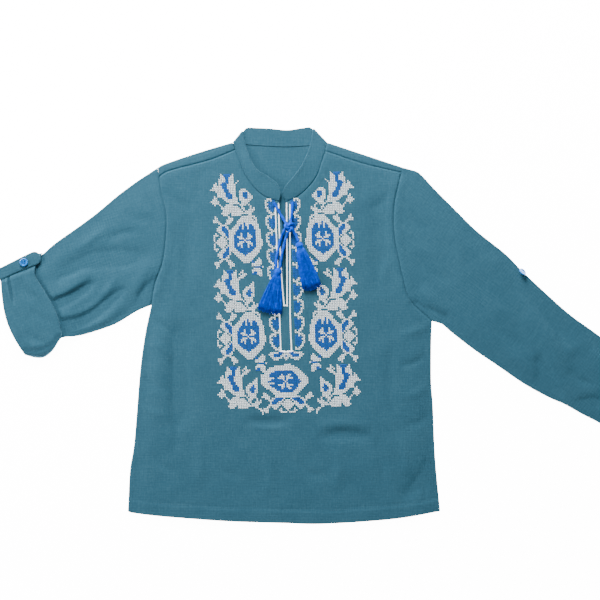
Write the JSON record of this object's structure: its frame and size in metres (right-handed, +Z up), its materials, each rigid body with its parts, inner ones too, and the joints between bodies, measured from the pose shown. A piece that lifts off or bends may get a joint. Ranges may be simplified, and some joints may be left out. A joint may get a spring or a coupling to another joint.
{
  "type": "embroidered vyshyvanka shirt laid flat",
  "caption": "Linen shirt laid flat, with a stand collar, a neck slit with a tasselled tie, a rolled sleeve under a buttoned tab and an outstretched sleeve.",
  "frame": {"origin": "on the underside of the back panel, on the centre line at chest height, where the shirt rests", "axes": "+X to the right sleeve as seen from above, +Y to the collar, +Z up from the surface that the shirt lies on"},
  "size_m": [0.9471, 0.5553, 0.0129],
  "materials": {
    "linen": "washed linen, plain weave, matt",
    "tie": "twisted royal blue yarn with a soft sheen",
    "button": "light blue pearly shirt button"
  },
  "bodies": {
    "root": {"back": "linen", "front": "linen", "collar": "linen", "sleeve_left": "linen", "sleeve_left_turn_1": "linen", "sleeve_left_turn_2": "linen", "sleeve_right": "linen", "roll_tab_left": "linen", "button_left": "button", "button_right": "button", "tie_knot": "tie", "tie_cord_left_top": "tie", "tie_cord_right_top": "tie", "tie_cord_left_end": "tie", "tie_cord_left_return": "tie", "tie_cord_right_end": "tie", "tassel_left": "tie", "tassel_right": "tie"}
  },
  "joints": []
}
